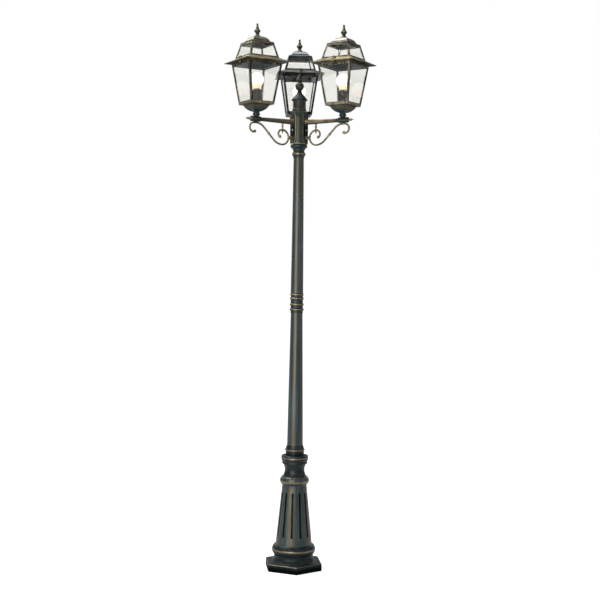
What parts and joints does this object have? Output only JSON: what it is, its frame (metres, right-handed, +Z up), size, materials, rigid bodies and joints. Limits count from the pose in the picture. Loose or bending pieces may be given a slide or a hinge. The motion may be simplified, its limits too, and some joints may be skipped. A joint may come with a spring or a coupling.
{
  "type": "triple head lamp post",
  "caption": "Garden lamp post with a ringed column on a hexagonal foot and arms on scroll brackets, each with a square lantern under a lift-off roof.",
  "frame": {"origin": "middle of the foot's flat underside, on the axis of the post", "axes": "+Z up along the post; -Y is the front, so the rear arm points along +Y and the other two stand to the left (-X) and right (+X) of the front"},
  "size_m": [0.6661, 0.5843, 2.4],
  "materials": {
    "dark_patina": "cast, dark green-grey patina paint rubbed with gold-brown, satin",
    "gold_patina": "cast, dark paint brushed over with beige gold, satin",
    "clear_glass": "clear",
    "lamp_glass": "lit, warm white",
    "holder_plastic": "moulded, dark",
    "nut_brass": "patinated",
    "rod_steel": "galvanised",
    "screw_steel": "darkened",
    "terminal_plastic": "moulded, pale"
  },
  "bodies": {
    "post": {"foot": "dark_patina", "pedestal": "dark_patina", "pedestal_neck": "dark_patina", "lower_column": "dark_patina", "mid_collar": "dark_patina", "upper_column": "dark_patina", "top_collar": "dark_patina", "hub": "dark_patina", "hub_sleeve": "dark_patina", "hub_roof": "dark_patina", "hub_finial": "dark_patina", "tie_rod": "rod_steel", "tie_nuts": "rod_steel", "terminal_block": "terminal_plastic", "arm_screws": "screw_steel", "left_arm": "dark_patina", "left_scroll": "gold_patina", "left_arm_tip": "gold_patina", "left_lantern_seat": "dark_patina", "left_bowl": "dark_patina", "left_cage": "gold_patina", "left_body_panes": "clear_glass", "left_lampholder": "holder_plastic", "right_arm": "dark_patina", "right_scroll": "gold_patina", "right_arm_tip": "gold_patina", "right_lantern_seat": "dark_patina", "right_bowl": "dark_patina", "right_cage": "gold_patina", "right_body_panes": "clear_glass", "right_lampholder": "holder_plastic", "rear_arm": "dark_patina", "rear_scroll": "gold_patina", "rear_arm_tip": "gold_patina", "rear_lantern_seat": "dark_patina", "rear_bowl": "dark_patina", "rear_cage": "gold_patina", "rear_body_panes": "clear_glass", "rear_lampholder": "holder_plastic"},
    "left_roof": {"left_roof_frame": "dark_patina", "left_roof_panes": "clear_glass", "left_dome": "dark_patina", "left_finial": "dark_patina"},
    "left_nut_a": {"left_thumb_nut_a": "nut_brass"},
    "left_nut_b": {"left_thumb_nut_b": "nut_brass"},
    "left_lamp": {"left_bulb": "lamp_glass"},
    "right_roof": {"right_roof_frame": "dark_patina", "right_roof_panes": "clear_glass", "right_dome": "dark_patina", "right_finial": "dark_patina"},
    "right_nut_a": {"right_thumb_nut_a": "nut_brass"},
    "right_nut_b": {"right_thumb_nut_b": "nut_brass"},
    "right_lamp": {"right_bulb": "lamp_glass"},
    "rear_roof": {"rear_roof_frame": "dark_patina", "rear_roof_panes": "clear_glass", "rear_dome": "dark_patina", "rear_finial": "dark_patina"},
    "rear_nut_a": {"rear_thumb_nut_a": "nut_brass"},
    "rear_nut_b": {"rear_thumb_nut_b": "nut_brass"},
    "rear_lamp": {"rear_bulb": "lamp_glass"}
  },
  "joints": [
    {"name": "left_roof_lift", "type": "slide", "parent": "post", "child": "left_roof", "axis": [0, 0, 1], "range_m": [0, 0.15]},
    {"name": "left_nut_a_turn", "type": "hinge", "parent": "left_roof", "child": "left_nut_a", "pos_m": [-0.25894, -0.1495, 2.25], "axis": [0, 0, 1], "continuous": true},
    {"name": "left_nut_b_turn", "type": "hinge", "parent": "left_roof", "child": "left_nut_b", "pos_m": [-0.11691, -0.0675, 2.25], "axis": [0, 0, 1], "continuous": true},
    {"name": "left_lamp_out", "type": "slide", "parent": "post", "child": "left_lamp", "axis": [0, 0, 1], "range_m": [0, 0.027]},
    {"name": "right_roof_lift", "type": "slide", "parent": "post", "child": "right_roof", "axis": [0, 0, 1], "range_m": [0, 0.15]},
    {"name": "right_nut_a_turn", "type": "hinge", "parent": "right_roof", "child": "right_nut_a", "pos_m": [0.23319, -0.04012, 2.25], "axis": [0, 0, 1], "continuous": true},
    {"name": "right_nut_b_turn", "type": "hinge", "parent": "right_roof", "child": "right_nut_b", "pos_m": [0.14267, -0.17688, 2.25], "axis": [0, 0, 1], "continuous": true},
    {"name": "right_lamp_out", "type": "slide", "parent": "post", "child": "right_lamp", "axis": [0, 0, 1], "range_m": [0, 0.027]},
    {"name": "rear_roof_lift", "type": "slide", "parent": "post", "child": "rear_roof", "axis": [0, 0, 1], "range_m": [0, 0.15]},
    {"name": "rear_nut_a_turn", "type": "hinge", "parent": "rear_roof", "child": "rear_nut_a", "pos_m": [-0.00572, 0.2988, 2.25], "axis": [0, 0, 1], "continuous": true},
    {"name": "rear_nut_b_turn", "type": "hinge", "parent": "rear_roof", "child": "rear_nut_b", "pos_m": [0.00572, 0.1352, 2.25], "axis": [0, 0, 1], "continuous": true},
    {"name": "rear_lamp_out", "type": "slide", "parent": "post", "child": "rear_lamp", "axis": [0, 0, 1], "range_m": [0, 0.027]}
  ]
}
